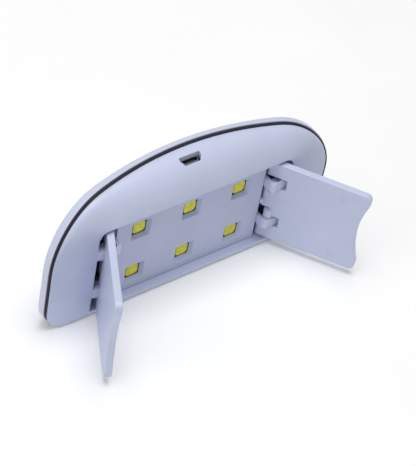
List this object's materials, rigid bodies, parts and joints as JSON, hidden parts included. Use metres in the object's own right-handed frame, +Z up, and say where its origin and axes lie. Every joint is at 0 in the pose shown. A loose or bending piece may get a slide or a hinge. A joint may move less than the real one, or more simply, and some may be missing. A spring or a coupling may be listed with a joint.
{
  "type": "folding uv led nail lamp",
  "caption": "Pocket nail-curing lamp with a domed shell that stands on its long edge, square LEDs in a reflector panel and a folding leg hinged at each end.",
  "frame": {"origin": "centre of the flat standing face, midway along the straight edge and midway between the LED face and the domed back", "axes": "+X along the straight edge to the right when looking at the LEDs, +Y from the LED face to the domed back, +Z up from the standing face"},
  "size_m": [0.1336, 0.0535, 0.0607],
  "materials": {
    "front_shell": "semi-gloss moulded, pale lilac",
    "rear_cover": "semi-gloss moulded, pale lilac",
    "gasket": "matt, dark",
    "leg": "semi-gloss moulded, pale lilac",
    "panel": "satin moulded, grey lilac",
    "board": "solder mask on glass-epoxy",
    "led_package": "matt moulded package",
    "led_lens": "translucent yellow silicone",
    "screw": "zinc plated",
    "inlet_metal": "tinned stamped steel",
    "dark_plastic": "matt moulded",
    "ceramic": "fired ceramic",
    "button": "semi-gloss moulded, pale lilac",
    "indicator": "clear moulded light pipe",
    "status_led": "clear chip LED",
    "lead_red": "PVC wire insulation",
    "lead_black": "PVC wire insulation"
  },
  "bodies": {
    "lamp_body": {"front_shell": "front_shell", "rear_cover": "rear_cover", "seam_gasket": "gasket", "reflector_panel": "panel", "led_board": "board", "led_packages": "led_package", "led_lenses": "led_lens", "led_board_screws": "screw", "control_board": "board", "board_screws": "screw", "micro_usb_shell": "inlet_metal", "micro_usb_tongue": "dark_plastic", "timer_chip": "dark_plastic", "driver_mosfet": "dark_plastic", "ballast_resistors": "dark_plastic", "input_capacitor": "ceramic", "tact_switch_base": "dark_plastic", "status_leds": "status_led", "indicator_lenses": "indicator", "power_lead_red": "lead_red", "power_lead_black": "lead_black"},
    "left_leg": {"left_leg": "leg"},
    "right_leg": {"right_leg": "leg"},
    "power_button": {"power_button": "button", "tact_switch_plunger": "dark_plastic"}
  },
  "joints": [
    {"name": "left_leg_hinge", "type": "hinge", "parent": "lamp_body", "child": "left_leg", "pos_m": [-0.0394, -0.00875, 0.02315], "axis": [0, 0, 1], "range_deg": [-6.75, 119.25]},
    {"name": "right_leg_hinge", "type": "hinge", "parent": "lamp_body", "child": "right_leg", "pos_m": [0.0394, -0.00875, 0.02315], "axis": [0, 0, 1], "range_deg": [-122.5, 3.5]},
    {"name": "power_button_press", "type": "slide", "parent": "lamp_body", "child": "power_button", "axis": [0, -1, 0], "range_m": [0, 0.0003], "stiffness_N_per_m": 800}
  ]
}
